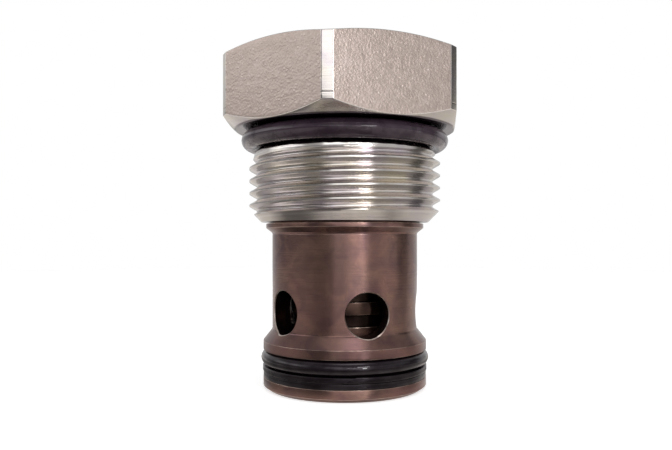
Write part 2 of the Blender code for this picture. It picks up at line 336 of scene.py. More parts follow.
def zinc():
    """Zinc plate: pitted drawn skin on the hexagon's flats, smooth turned metal everywhere else."""
    n = Nodes("zinc_plate")
    co, x, y, z, r = n.place()
    flat = n.attribute("skin")
    edge = n.attribute("edge")
    # drawn skin: shallow pits over a finer grain
    pits = n.voronoi(co, 2900.0, "SMOOTH_F1", 0.5)
    coarse = n.noise(co, 2500.0, 2.0, 0.5, 0.2)
    fine = n.noise(co, 5200.0, 2.0, 0.5)
    relief = n.math("ADD", n.math("MULTIPLY", pits, 0.6),
                    n.math("ADD", n.math("MULTIPLY", coarse, 0.9), n.math("MULTIPLY", fine, 0.15)))
    marks = n.lathe_marks(x, y, z, r, 0.22)
    dots = n.ramp(n.voronoi(co, 1500.0), [(0.06, (1, 1, 1)), (0.42, (0, 0, 0))], "EASE")
    dots = n.math("MULTIPLY", dots, n.ramp(n.noise(co, 620.0, 2.0), [(0.36, (0, 0, 0)), (0.60, (1, 1, 1))]))
    relief = n.math("MULTIPLY_ADD", dots, 0.45, relief)
    n1 = n.bump(relief, 0.035, flat)
    n2 = n.bump(marks, 0.008, n.math("SUBTRACT", 1.0, flat), n1)
    # passivation: faint straw and violet patches on the smooth surfaces
    patch = n.noise(co, 190.0, 2.0, 0.5, 0.4)
    streak = n.lathe_marks(x, y, z, r, 1.3, 0.15)
    tint = n.ramp(n.math("ADD", n.math("MULTIPLY", patch, 0.6), n.math("MULTIPLY", streak, 0.4)),
                  [(0.36, (0.58, 0.53, 0.56)), (0.50, (0.65, 0.605, 0.575)), (0.64, (0.68, 0.63, 0.54))])
    grain = n.noise(co, 900.0, 4.0, 0.65)
    drawn = n.ramp(n.math("ADD", n.math("MULTIPLY", grain, 0.7), n.math("MULTIPLY", n.noise(co, 140.0, 2.0), 0.3)),
                   [(0.30, (0.470, 0.388, 0.346)), (0.52, (0.540, 0.448, 0.404)), (0.72, (0.610, 0.515, 0.480))])
    drawn = n.mix(n.math("MULTIPLY", dots, 0.30), drawn, (0.86, 0.77, 0.72, 1.0))
    colour = n.mix(flat, tint, drawn)
    colour = n.mix(n.math("MULTIPLY", edge, 0.5), colour, (0.84, 0.81, 0.78, 1.0))
    # painted shade: the seat's edge and the turning line are darkened
    colour = n.mix(n.attribute("painted_shade"), colour, (0.10, 0.08, 0.10, 1.0))
    n.set(Base_Color=colour, Metallic=1.0, Normal=n2,
          Roughness=n.math("ADD", n.lerp(flat, 0.17, 0.40), n.math("MULTIPLY", n.math("SUBTRACT", grain, 0.5), 0.12)))
    n.around_axis(n.lerp(flat, 0.35, 0.0))
    return n.mat


def phosphate(name, light, mid, dark, rough, marks_depth, shade_inside):
    """Brown phosphate on turned steel, oiled. Below the first given radius it is darker: painted shade on the window
    walls, in the bores and in the poppet's grooves.
    """
    n = Nodes(name)
    co, x, y, z, r = n.place()
    edge = n.attribute("edge")
    blotch = n.noise(co, 260.0, 3.0, 0.55, 0.8)
    hue = n.noise(co, 120.0, 2.0, 0.5, 0.3)
    marks = n.lathe_marks(x, y, z, r, 0.20)
    bands = n.lathe_marks(x, y, z, r, 0.9, 0.05)
    speck = n.noise(co, 2600.0, 2.0, 0.6)
    base = n.ramp(n.math("ADD", n.math("MULTIPLY", blotch, 0.80), n.math("MULTIPLY", bands, 0.20)),
                  [(0.34, dark), (0.50, mid), (0.66, light)])
    base = n.mix(n.ramp(hue, [(0.42, (0, 0, 0)), (0.60, (1, 1, 1))]), base,
                 n.mix(1.0, base, (1.0, 0.94, 1.00, 1.0), "MULTIPLY"))
    base = n.mix(n.math("MULTIPLY", n.ramp(speck, [(0.62, (0, 0, 0)), (0.75, (1, 1, 1))]), 0.25), base,
                 (light[0] * 1.5, light[1] * 1.5, light[2] * 1.5, 1.0))
    # lighter colour on convex edges: partly wear, partly a painted highlight along the edges
    wear_and_highlight = n.math("MULTIPLY", edge, n.ramp(n.noise(co, 700.0, 2.0), [(0.30, (0.25, 0.25, 0.25)), (0.60, (1, 1, 1))]))
    base = n.mix(n.math("MULTIPLY", wear_and_highlight, 0.80), base, (0.66, 0.52, 0.45, 1.0))
    # painted shade: darker below the given radius, inside the windows and grooves
    recess_shade = n.new("ShaderNodeMapRange", interpolation_type="SMOOTHSTEP")
    n.put(r, recess_shade.inputs["Value"])
    for key, v in zip(("From Min", "From Max", "To Min", "To Max"), (shade_inside[0] * MM, shade_inside[1] * MM, shade_inside[2], 1.0)):
        recess_shade.inputs[key].default_value = v
    base = n.mix(1.0, base, n.vector(recess_shade.outputs[0], recess_shade.outputs[0], recess_shade.outputs[0]), "MULTIPLY")
    n1 = n.bump(marks, marks_depth)
    n2 = n.bump(speck, 0.004, 0.6, n1)
    n.set(Base_Color=base, Metallic=0.97, Normal=n2, Specular_IOR_Level=0.5,
          Roughness=n.math("ADD", rough, n.math("MULTIPLY", n.math("SUBTRACT", blotch, 0.5), 0.16)))
    n.around_axis(0.62)
    return n.mat


def rim_metal():
    """Deburred rim, rubbed back to bare metal in places."""
    n = Nodes("worn_rim")
    co, *_ = n.place()
    tone = n.noise(co, 500.0, 3.0, 0.6)
    colour = n.ramp(tone, [(0.35, (0.42, 0.31, 0.27)), (0.60, (0.82, 0.72, 0.66))])
    n.set(Base_Color=colour, Metallic=1.0, Roughness=n.math("ADD", 0.20, n.math("MULTIPLY", tone, 0.2)),
          Normal=n.bump(n.noise(co, 1800.0, 2.0), 0.01, 0.5))
    return n.mat


def rubber(name, base, rough, oil):
    """Nitrile rubber with a thin film of oil and a trace of dust."""
    n = Nodes(name)
    co, x, y, z, r = n.place()
    mottled = n.noise(co, 350.0, 3.0, 0.6)
    dust = n.noise(co, 2400.0, 2.0, 0.7)
    colour = n.ramp(mottled, [(0.35, base), (0.70, tuple(c * 1.7 for c in base))])
    colour = n.mix(n.math("MULTIPLY", n.ramp(dust, [(0.66, (0, 0, 0)), (0.78, (1, 1, 1))]), 0.10), colour,
                   (0.10, 0.095, 0.09, 1.0))
    n.set(Base_Color=colour, Roughness=n.math("ADD", rough, n.math("MULTIPLY", n.math("SUBTRACT", mottled, 0.5), 0.18)),
          Coat_Weight=n.math("MULTIPLY", n.ramp(mottled, [(0.3, (0.2, 0.2, 0.2)), (0.6, (1, 1, 1))]), oil),
          Coat_Roughness=0.05, Coat_IOR=1.42, Coat_Tint=(1.0, 0.94, 0.98, 1.0), Specular_IOR_Level=0.18, Specular_Tint=(1.0, 0.82, 0.96, 1.0),
          Normal=n.bump(n.noise(co, 1500.0, 3.0, 0.6), 0.008, 0.6))
    return n.mat


def wire_steel(name, colour, rough):
    n = Nodes(name)
    co, x, y, z, r = n.place()
    drawn = n.noise(co, 800.0, 3.0, 0.6)
    tone = n.ramp(drawn, [(0.35, tuple(c * 0.78 for c in colour)), (0.65, colour)])
    n.set(Base_Color=tone, Metallic=1.0, Roughness=n.math("ADD", rough, n.math("MULTIPLY", drawn, 0.12)),
          Normal=n.bump(n.noise(co, 2500.0, 2.0), 0.003, 0.5))
    return n.mat


ZINC = zinc()
BROWN = phosphate("brown_phosphate", (0.255, 0.152, 0.120), (0.200, 0.118, 0.102), (0.148, 0.089, 0.086), 0.24, 0.010,
                  (12.25, 12.60, 0.34))
# the poppet's dark colours are partly its own steel and partly painted shade, for the shade it sits in inside the cage
POPPET = phosphate("poppet_steel", (0.070, 0.040, 0.029), (0.055, 0.032, 0.025), (0.040, 0.024, 0.020), 0.22, 0.006,
                   (9.20, 9.38, 0.20))
RIM = rim_metal()
THREAD_RUBBER = rubber("black_rubber", (0.0290, 0.0195, 0.0275), 0.28, 1.0)
NOSE_RUBBER = rubber("nose_rubber", (0.0050, 0.0030, 0.0046), 0.24, 0.8)
BACKUP_UP = rubber("black_backup", (0.0050, 0.0032, 0.0044), 0.26, 0.5)
BACKUP_LOW = rubber("black_backup_lower", (0.0048, 0.0031, 0.0042), 0.25, 0.6)
SPRING = wire_steel("spring_steel", (0.62, 0.61, 0.60), 0.18)
SHIM = wire_steel("shim_steel", (0.58, 0.57, 0.56), 0.26)


def dress(obj, mat, body, nodes):
    if not obj.data.materials:
        obj.data.materials.append(mat)
    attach(obj, body)
    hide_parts(*nodes)
    return obj


# ------------------------------------------------------------------ hexagon plug
def plug():
    # columns: close together at the hexagon's corners
    one = [d for d in np.arange(-30.0, -25.99, 0.25)] + [d for d in np.arange(-25.0, 25.01, 1.0)] + \
          [d for d in np.arange(26.0, 29.99, 0.25)]
    phi = np.radians(np.array([60.0 * s + d for s in range(6) for d in one]))
    delta = np.radians(np.array([d for s in range(6) for d in one]))
    cols = len(phi)
    cos, sin = np.cos(phi), np.sin(phi)
    flat_r = HEX_HALF / np.cos(delta)
    turned = np.minimum(smin(flat_r, np.full(cols, HEX_TURNED_R), 0.05), HEX_TURNED_R)
    rows, skins, edges, shade_rows = [], [], [], []

    def row(r, z, s=0.0, e=0.0, d=0.0):
        ring = np.zeros((cols, 3))
        ring[:, 0], ring[:, 1], ring[:, 2] = r * cos, r * sin, z
        rows.append(ring)
        for kept, value in ((skins, s), (edges, e), (shade_rows, d)):
            kept.append(np.broadcast_to(value, (cols,)).astype(float))

    # head, from the top centre out and down to the neck
    seat_rise = math.tan(math.radians(31.0))
    tops, lows = [], []
    for R in turned:
        z_cone = Z_SEAT + (R - SEAT_R) * seat_rise
        shade_w = min(0.45, 0.6 * (R - SEAT_R))         # width of the painted shade line on the seat's edge
        z_high = Z_TOP - (R - HEX_TOP_FLAT_R) * HEX_TOP_DROP / (HEX_TURNED_R - HEX_TOP_FLAT_R)
        tops.append(rounded([(0.0, Z_TOP, 0), (6.0, Z_TOP, 0), (12.0, Z_TOP, 0), (HEX_TOP_FLAT_R - 0.6, Z_TOP, 0),
                             (R, z_high, 0.12), (R, z_high - 1.0, 0)]))
        lows.append(rounded([(R, z_cone + 0.6, 0), (R, z_cone, 0.20),
                             (SEAT_R + shade_w, Z_SEAT + shade_w * seat_rise, 0),
                             (SEAT_R + 0.6 * shade_w, Z_SEAT + 0.6 * shade_w * seat_rise, 0),
                             (SEAT_R, Z_SEAT, 0.10),
                             (NECK_R, Z_SEAT, 0.30), (NECK_R, Z_SEAT - 1.2, 0), (NECK_R, THREAD_TOP[-1][0] + 0.1, 0)]))
    on_flat = np.clip((HEX_TURNED_R - 0.02 - flat_r) / 0.05, 0.0, 1.0)
    rows_top, rows_low = len(tops[0]), len(lows[0])
    for j in range(rows_top):
        r = np.array([t[j][0] for t in tops])
        z = np.array([t[j][1] for t in tops])
        e = np.array([t[j][2] for t in tops])
        row(r, z, on_flat if j >= rows_top - 2 else 0.0, e)
    z0 = np.array([t[-1][1] for t in tops])
    z1 = np.array([lo[0][1] for lo in lows])
    line = 47.07                                      # a turning line round the corners
    levels = [z0 + (line + 0.25 - z0) * k / 44.0 for k in range(1, 44)]
    levels += [np.full(cols, line + d) for d in (0.25, 0.11, 0.07, 0.03, 0.0, -0.03, -0.07, -0.11, -0.25)]
    levels += [line - 0.25 + (z1 - line + 0.25) * k / 8.0 for k in range(1, 8)]
    for z in levels:
        fade = np.clip(np.minimum(z0 - z, z - z1) / 1.5, 0.0, 1.0)
        wave = np.array([noise.noise(Vector((flat_r[c] * cos[c], flat_r[c] * sin[c], z[c])) * 0.8)
                         + 0.6 * noise.noise(Vector((flat_r[c] * cos[c], flat_r[c] * sin[c], z[c])) * 2.6)
                         for c in range(cols)])
        rough_r = flat_r + np.minimum((wave - 0.35) * 0.022, 0.0) * fade
        cut_in = 0.05 * np.exp(-((z - line) / 0.045) ** 2)
        limit = HEX_TURNED_R - cut_in
        r = np.minimum(smin(rough_r, limit, 0.03), limit)
        drawn = np.clip((HEX_TURNED_R - 0.015 - rough_r) / 0.04, 0.0, 1.0)
        # painted shade: a dark line along the turning line's groove
        row(r, z, drawn, 0.0, cut_in * 16.0 * (1.0 - drawn))
    for j in range(rows_low):
        r = np.array([t[j][0] for t in lows])
        z = np.array([t[j][1] for t in lows])
        e = np.array([t[j][2] for t in lows])
        shade_w = np.minimum(0.45, 0.6 * (turned - SEAT_R))
        # painted shade: a dark band on the seat's inner edge, under the head
        shade_band = np.clip((SEAT_R + shade_w - r) / (0.4 * shade_w), 0.0, 0.92)
        row(r, z, on_flat if j < 2 else 0.0, e * (1.0 - shade_band), shade_band)

    # thread: rows follow the helix, so crest, flanks and root keep crisp edges
    local = [0.0, 0.07, 0.12, 0.17, 0.30, 0.46, 0.62, 0.78, 0.86, 0.94, 1.0585]
    local = local + [PITCH - v for v in reversed(local[1:-1])]
    per = len(local)
    half_crest = PITCH / 16.0
    root_r = MAJOR_R - 0.6134 * PITCH
    flank = math.tan(math.radians(30.0))
    z_hi = THREAD_TOP[-1][0]
    turns = 11
    start = CREST_Z0 - 3.0 * PITCH
    zs = np.array([start + PITCH * (j // per) + local[j % per] for j in range(per * turns)])
    grid = []
    for j in range(per * turns):
        z = zs[j] + PITCH * phi_turn(phi)
        t = local[j % per]
        t = min(t, PITCH - t)
        r = MAJOR_R - max(0.0, t - half_crest) / flank
        r = float(smax(np.array([r]), np.array([root_r]), 0.22)[0])
        r = float(smin(np.array([r]), np.array([MAJOR_R]), 0.05)[0])
        zc = np.clip(z, Z_BODY_END, z_hi)
        top_env = np.interp(zc, [p[0] for p in THREAD_TOP], [p[1] for p in THREAD_TOP])
        low_env = SHANK_END_R + (zc - Z_BODY_END)
        rr = np.minimum(r, smin(top_env, low_env, 0.05))
        rr = np.where(z >= z_hi, NECK_R, np.maximum(rr, np.where(zc > 37.0, NECK_R, 0.0)))
        rr = np.where(z <= Z_BODY_END, SHANK_END_R, rr)
        nick = np.array([noise.noise(Vector((cos[c] * 16.0, sin[c] * 16.0, zc[c])) * 0.9) for c in range(cols)]) \
            if r > MAJOR_R - 0.08 else 0.0
        rr = rr + np.where((z > Z_BODY_END + 0.4) & (z < z_hi - 0.4), 0.012 * nick - 0.012, 0.0)
        ring = np.zeros((cols, 3))
        ring[:, 0], ring[:, 1], ring[:, 2] = rr * cos, rr * sin, zc
        grid.append((ring, 1.0 if r > MAJOR_R - 0.06 else 0.0))

    # inside: bottom face, counterbore, stop shoulder and spring chamber
    shade_inside = rounded([(SHANK_END_R, Z_BODY_END, 0), (COUNTERBORE_R + 0.4, Z_BODY_END, 0.1),
                     (COUNTERBORE_R, Z_BODY_END + 0.4, 0.1), (COUNTERBORE_R, Z_COUNTERBORE, 0.15),
                     (SPRING_BORE_R, Z_COUNTERBORE, 0.15), (SPRING_BORE_R, Z_SPRING_BORE, 0.3),
                     (0.0, Z_SPRING_BORE, 0)])
    points = rows
    pts = np.array(points).reshape(-1, 3)
    faces = []

    def quads(a0, b0):
        for i in range(cols):
            j = (i + 1) % cols
            faces.append((a0 + i, a0 + j, b0 + j, b0 + i))

    for j in range(len(points) - 1):
        quads(j * cols, (j + 1) * cols)
    base = len(points) * cols
    gpts = np.array([g[0] for g in grid]).reshape(-1, 3)
    gskin = np.zeros(len(gpts))
    gedge = np.repeat(np.array([g[1] for g in grid]), cols)
    rows_g = len(grid)
    for j in range(rows_g - 1):
        a0, b0 = base + j * cols, base + (j + 1) * cols
        for i in range(cols - 1):
            faces.append((b0 + i, b0 + i + 1, a0 + i + 1, a0 + i))
        if j + per + 1 < rows_g:
            c0, d0 = base + (j + per) * cols, base + (j + per + 1) * cols
            faces.append((b0 + cols - 1, d0, c0, a0 + cols - 1))
    ipts = []
    for r, z, e in shade_inside:
        ring = np.zeros((cols, 3))
        ring[:, 0], ring[:, 1], ring[:, 2] = r * cos, r * sin, z
        ipts.append(ring)
    ibase = base + len(gpts)
    for j in range(len(shade_inside) - 1):
        quads(ibase + j * cols, ibase + (j + 1) * cols)
    # the neck's last row meets the thread's top ring
    neck = np.zeros((cols, 3))
    neck[:, 0], neck[:, 1], neck[:, 2] = NECK_R * cos, NECK_R * sin, z_hi
    nbase = ibase + len(ipts) * cols
    quads((len(points) - 1) * cols, nbase)
    allpts = np.concatenate([pts, gpts, np.array(ipts).reshape(-1, 3), neck], 0)
    skin_l = np.concatenate([np.array(skins).ravel(), gskin, np.zeros(len(ipts) * cols), np.zeros(cols)])
    edge_l = np.concatenate([np.array(edges).ravel(), gedge, np.zeros(len(ipts) * cols), np.zeros(cols)])
    shade_l = np.concatenate([np.array(shade_rows).ravel(), np.zeros(len(gpts) + len(ipts) * cols + cols)])
    obj = finish_mesh("hex_plug", allpts, faces, {"skin": skin_l, "edge": edge_l, "painted_shade": shade_l})
    smooth(obj, 28.0)
    return obj


def phi_turn(phi):
    """How far round a column is, from 0 to 1 turn."""
    return (phi - phi[0]) / (2.0 * math.pi) + phi[0] / (2.0 * math.pi)


# ------------------------------------------------------------------ cage
def drill(name, degrees, r, height, r_from, r_to, sides):
    way = across(degrees)
    mesh = bpy.data.meshes.new(name)
    bm = bmesh.new()
    bmesh.ops.create_cone(bm, cap_ends=True, segments=sides, radius1=r * MM, radius2=r * MM, depth=(r_to - r_from) * MM)
    bm.transform(Matrix.Translation(way * ((r_from + r_to) / 2.0 * MM) + Vector((0, 0, height * MM)))
                 @ way.to_track_quat("Z", "Y").to_matrix().to_4x4())
    bm.to_mesh(mesh)
    bm.free()
    return mesh


def merged(name, meshes):
    bm = bmesh.new()
    for m in meshes:
        bm.from_mesh(m)
        bpy.data.meshes.remove(m)
    mesh = bpy.data.meshes.new(name)
    bm.to_mesh(mesh)
    bm.free()
    obj = bpy.data.objects.new(name, mesh)
    scene.collection.objects.link(obj)
    return obj


def outer_r(z, profile):
    """Radius of the cage's outside at a height."""
    for (r0, z0), (r1, z1) in zip(profile, profile[1:]):
        if min(z0, z1) <= z <= max(z0, z1) and abs(z1 - z0) > 1e-9:
            return r0 + (r1 - r0) * (z - z0) / (z1 - z0)
    return profile[0][0]


def rim_cutter(name, degrees, size, profile):
    """A ring of square section that follows the edge of a window and takes off a small chamfer."""
    way = across(degrees)
    side = Vector((0, 0, 1)).cross(way)
    n = 120
    curve = []
    for i in range(n):
        a = 2.0 * math.pi * i / n
        s, h = WINDOW_D / 2.0 * math.cos(a), WINDOW_D / 2.0 * math.sin(a)
        r = outer_r(WINDOW_Z + h, profile)
        depth = math.sqrt(r * r - s * s)
        curve.append((way * depth + side * s + Vector((0, 0, WINDOW_Z + h)),
                      (side * math.cos(a) + Vector((0, 0, 1)) * math.sin(a))))
    pts, faces = [], []
    for p, out in curve:
        pts += [p + out * size, p + way * size * 1.4, p - out * size, p - way * size]
    for i in range(n):
        j = (i + 1) % n
        for k in range(4):
            m = (k + 1) % 4
            faces.append((4 * i + k, 4 * i + m, 4 * j + m, 4 * j + k))
    mesh = bpy.data.meshes.new(name)
    mesh.from_pydata([tuple(p * MM) for p in pts], [], faces)
    bm = bmesh.new()
    bm.from_mesh(mesh)
    bmesh.ops.recalc_face_normals(bm, faces=bm.faces)
    if bm.calc_volume(signed=True) < 0:
        bmesh.ops.reverse_faces(bm, faces=bm.faces)
    bm.to_mesh(mesh)
    bm.free()
    return mesh


def sleeve():
    top = Z_COUNTERBORE - 0.3
    barrel = [(CAGE_R, 26.75), (CAGE_R, 10.20), (NOSE_R, 8.25)]
    corners = [
        (GUIDE_R + 0.35, top, 0), (SPIGOT_R - 0.5, top, 0.05), (SPIGOT_R, top - 0.5, 0.05), (SPIGOT_R, 28.38, 0.08),
        (COLLAR_R, 28.38, 0.12), (COLLAR_R, 27.62, 0.10), (CAGE_R + 0.05, 26.80, 0.06), (CAGE_R - 0.02, 26.55, 0.06),
        (CAGE_R - 0.02, 26.45, 0.05), (CAGE_R, 26.40, 0.05),
        (CAGE_R, 10.20, 0.60), (NOSE_R, 8.25, 0.10), (NOSE_R, 6.72, 0.09), (GROOVE_R, 6.72, 0.2),
        (GROOVE_R, 2.08, 0.2), (NOSE_R, 2.08, 0.08), (NOSE_R, 0.60, 0.12), (NOSE_R - 0.85, 0.0, 0.15),
        (INLET_R + 0.5, 0.0, 0.06), (INLET_R, 0.5, 0.06), (INLET_R, INLET_R, 0.03), (SEAT_STEP_Z, SEAT_STEP_Z, 0.03),
        (GUIDE_R, SEAT_STEP_Z, 0.05), (GUIDE_R, top - 0.35, 0.05)]
    profile = dense(rounded(corners + [corners[0]], 4)[:-1], 0.45, 7.0, 19.0)
    obj = lathe("ported_sleeve", profile, 288)
    obj.data.materials.append(BROWN)
    cut(obj, merged("window_drills", [drill("w%d" % i, WINDOW_FIRST + 72.0 * i, WINDOW_D / 2.0, WINDOW_Z,
                                            INLET_R - 3.0, NOSE_R + 3.0, 112) for i in range(WINDOW_COUNT)]))
    rims = merged("window_rims", [rim_cutter("r%d" % i, WINDOW_FIRST + 72.0 * i, 0.17, barrel)
                                  for i in range(WINDOW_COUNT)])
    rims.data.materials.append(RIM)
    cut(obj, rims)
    smooth(obj, 30.0)
    return obj


# ------------------------------------------------------------------ poppet
def plunger():
    r, deep, fine = POPPET_R, POPPET_R - 0.35, POPPET_R - 0.3
    top = POPPET_TOP
    corners = [(0.0, POCKET_Z - 0.35, 0), (2.2, POCKET_Z - 0.05, 0.5), (POCKET_R - 0.4, POCKET_Z, 0.1),
               (POCKET_R, POCKET_Z + 0.4, 0.2), (POCKET_R, top - 0.6, 0.1), (POCKET_R + 0.6, top, 0.08),
               (r - 0.3, top, 0.08), (r, top - 0.3, 0.08)]
    for hi, lo, bottom in ((25.70, 24.90, fine), (21.70, 20.90, fine), (17.25, 15.35, deep), (13.25, 11.30, deep)):
        corners += [(r, hi, 0.14), (bottom, hi - 0.08, 0.12), (bottom, lo + 0.08, 0.12), (r, lo, 0.14)]
    corners += [(r, r + 0.3, 0.06), (POPPET_NOSE_Z - 0.3, POPPET_NOSE_Z, 0.12), (1.2, POPPET_NOSE_Z, 0.1),
                (0.0, POPPET_NOSE_Z + 0.35, 0)]
    obj = lathe("poppet_plunger", rounded(corners, 4), 200, closed=False)
    obj.data.materials.append(POPPET)
    cut(obj, merged("vents", [drill("v%d" % i, WINDOW_FIRST + 144.0 + 180.0 * i, 0.8, 16.3, POCKET_R - 1.5,
                                    POPPET_R + 2.0, 32) for i in range(2)]))
    smooth(obj, 30.0)
    return obj


# ------------------------------------------------------------------ seals
def moulded_ring(name, section, outer, height, squash_z, steps, flash):
    """An O-ring: round section with the fine moulding line at its widest point, and a slight set."""
    centre = outer - section / 2.0
    rings = 56
    profile = []
    for k in range(rings):
        a = -2.0 * math.pi * k / rings
        bulge = flash * math.exp(-((math.atan2(math.sin(a), math.cos(a))) / 0.055) ** 2)
        rad = section / 2.0 - flash + bulge
        profile.append((centre + rad * math.cos(a), height + rad * math.sin(a) * squash_z, 0.0))

    def ripple(cols, r, z):
        return 0.012 * np.sin(3.0 * cols + 0.7) + 0.006 * np.sin(11.0 * cols + z) - 0.018

    obj = lathe(name, profile, steps, ripple=ripple)
    smooth(obj, 60.0)
    return obj


def split_ring(name, shade_inside, outer, low, high, chamfer, cut_deg, lean, steps, rise=0.0, gap=0.9):
    """A flat back-up ring with a scarf cut: its two ends meet along a slanted slit."""
    section = rounded([(shade_inside, (low + high) / 2, 0), (shade_inside, high, 0.05), (outer, high, chamfer), (outer, low, chamfer),
                       (shade_inside, low, 0.05), (shade_inside, (low + high) / 2, 0)], 4)[:-1]
    z_mid = (low + high) / 2
    start = math.radians(cut_deg - 90.0)
    pts, m = [], len(section)
    for i in range(steps + 1):
        t = i / steps
        for r, z, _ in section:
            slant = (z - z_mid) / (high - low) * math.radians(lean)
            a = start + math.radians(gap) / 2.0 + slant + t * (2.0 * math.pi - math.radians(gap))
            near = math.exp(-min(t, 1.0 - t) * steps / 9.0)
            side = 1.0 if t < 0.5 else -1.0
            pts.append(((r + 0.05 * near * (side > 0)) * math.cos(a), (r + 0.05 * near * (side > 0)) * math.sin(a),
                        z + side * rise * near))
    faces = []
    for i in range(steps):
        for k in range(m):
            q = (k + 1) % m
            faces.append((i * m + k, i * m + q, (i + 1) * m + q, (i + 1) * m + k))
    faces.append(tuple(range(m)))
    faces.append(tuple(steps * m + k for k in reversed(range(m))))
    obj = finish_mesh(name, np.array(pts), faces)
    smooth(obj, 40.0)
    return obj


# ------------------------------------------------------------------ spring and shim
def fine_spring(name, wire, mean, low, high, total, closed, around, section):
    bottom, top = low + wire / 2.0, high - wire / 2.0
    free = total - 2.0 * closed
    closed_pitch = wire + 0.04
    free_pitch = (top - bottom - 2.0 * closed * closed_pitch) / free
    count = int(total * around)
    pts = []
    for i in range(count + 1):
        turn = i / around
        z = bottom + closed_pitch * min(turn, closed) + free_pitch * min(max(turn - closed, 0.0), free) \
            + closed_pitch * max(turn - closed - free, 0.0)
        a = 2.0 * math.pi * turn
        slope = free_pitch if closed < turn < closed + free else closed_pitch
        along = Vector((-math.sin(a), math.cos(a), slope / (2 * math.pi * mean))).normalized()
        out = Vector((math.cos(a), math.sin(a), 0.0))
        up = out.cross(along) * -1.0
        for k in range(section):
            b = 2.0 * math.pi * k / section
            p = out * (mean + wire / 2.0 * math.cos(b)) + Vector((0, 0, z)) + up * (wire / 2.0 * math.sin(b))
            pts.append((p.x, p.y, min(max(p.z, low + 0.28), high - 0.28)))     # ground flat at both ends
    faces = []
    for i in range(count):
        for k in range(section):
            q = (k + 1) % section
            faces.append((i * section + k, i * section + q, (i + 1) * section + q, (i + 1) * section + k))
    faces.append(tuple(reversed(range(section))))
    faces.append(tuple(count * section + k for k in range(section)))
    obj = finish_mesh(name, np.array(pts), faces, weld=0.00001)
    smooth(obj, 40.0)
    return obj


# ------------------------------------------------------------------ build and place the pieces
hex_plug = dress(plug(), ZINC, "valve_body", ["hex_body"])
cage = dress(sleeve(), BROWN, "valve_body", ["cage"])
poppet = dress(plunger(), POPPET, "poppet", ["poppet"])
port_seal = dress(moulded_ring("port_o_ring", 3.20, 18.05, 42.64, 1.0, 360, 0.03), THREAD_RUBBER, "valve_body",
                  ["thread_o_ring"])
nose_seal = dress(moulded_ring("nose_seal", 2.62, 14.62, 5.36, 1.0, 300, 0.025), NOSE_RUBBER, "valve_body",
                  ["nose_o_ring"])
upper = dress(split_ring("backup_upper", GROOVE_R + 0.2, 14.30, 3.10, 4.06, 0.14, 9.5, 9.0, 260, 0.05), BACKUP_UP,
              "valve_body", ["nose_backup_ring_upper"])
lower = dress(split_ring("backup_lower", GROOVE_R + 0.2, 14.20, 2.12, 3.06, 0.10, 150.0, -9.0, 260, 0.0), BACKUP_LOW,
              "valve_body", ["nose_backup_ring_lower"])
s_lo, s_hi = (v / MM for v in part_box("spring"))
coil = dress(fine_spring("closing_spring", 1.2, 5.75, s_lo.z, s_hi.z, 8.0, 1.0, 64, 20), SPRING, "valve_body",
             ["spring"])
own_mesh(coil)
m_lo, m_hi = (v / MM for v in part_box("preload_shim"))
shim = dress(lathe("preload_washer", rounded([
    (4.0, (m_lo.z + m_hi.z) / 2, 0), (4.0, m_hi.z, 0.08), (7.9, m_hi.z, 0.1), (7.9, m_lo.z, 0.1),
    (4.0, m_lo.z, 0.08), (4.0, (m_lo.z + m_hi.z) / 2, 0)], 4)[:-1], 160), SHIM, "valve_body", ["preload_shim"])
smooth(shim, 35.0)

# ------------------------------------------------------------------ floor, light and camera
floor_mesh = bpy.data.meshes.new("floor")
bm = bmesh.new()
bmesh.ops.create_circle(bm, cap_ends=True, segments=96, radius=0.7)
bm.transform(Matrix.Translation((0, 0, -0.00006)))
bm.to_mesh(floor_mesh)
bm.free()
floor = bpy.data.objects.new("floor", floor_mesh)
scene.collection.objects.link(floor)
f = Nodes("pale_floor")
_, fx, fy, fz, fr = f.place()
fade = f.ramp(f.math("DIVIDE", fr, 0.7), [(0.30, (1, 1, 1)), (0.80, (0, 0, 0))], "EASE")
grain = f.noise(f.vector(fx, fy, fz), 60.0, 3.0)
pale = f.ramp(grain, [(0.3, (0.78, 0.78, 0.78)), (0.7, (0.80, 0.80, 0.80))])
seen = f.new("ShaderNodeLightPath").outputs["Is Camera Ray"]
# painted light: for reflected rays the sheet holds a painted pool of light under and beside the valve and painted shade
# in front, and it glows; camera rays see an evenly pale, glowing sheet
shifted = f.math("SUBTRACT", fx, 0.003)
spot = f.math("SQRT", f.math("ADD", f.math("MULTIPLY", shifted, shifted), f.math("MULTIPLY", fy, fy)))
lit_pool_under = f.ramp(f.math("DIVIDE", spot, 0.7), [(0.0245, (1, 1, 1)), (0.0325, (0, 0, 0))])
lit_pool_beside = f.ramp(f.math("DIVIDE", f.math("ABSOLUTE", f.math("ADD", fx, 0.007)), 0.1), [
    (0.25, (0, 0, 0)), (0.40, (0.70, 0.70, 0.70)), (0.65, (0.74, 0.74, 0.74)), (1.0, (1, 1, 1))])
# painted pool of light and painted shade, seen only in reflections
near = f.mix(f.math("MAXIMUM", lit_pool_under, lit_pool_beside), (0.14, 0.13, 0.12, 1.0), (0.88, 0.83, 0.78, 1.0))
f.set(Base_Color=f.mix(seen, near, pale), Roughness=f.lerp(seen, 0.14, 0.9), Specular_IOR_Level=f.lerp(seen, 0.36, 0.1),
      Alpha=fade,
      Emission_Color=f.mix(seen, near, (1.0, 1.0, 1.0, 1.0)), Emission_Strength=f.lerp(seen, 0.30, 0.68))
floor.data.materials.append(f.mat)

world = bpy.data.worlds.new("studio")
scene.world = world
world.use_nodes = True
wt = world.node_tree
wt.nodes.clear()


def wn(kind, **values):
    node = wt.nodes.new(kind)
    for k, v in values.items():
        setattr(node, k, v)
    return node


def wlink(a, b):
    wt.links.new(a, b)


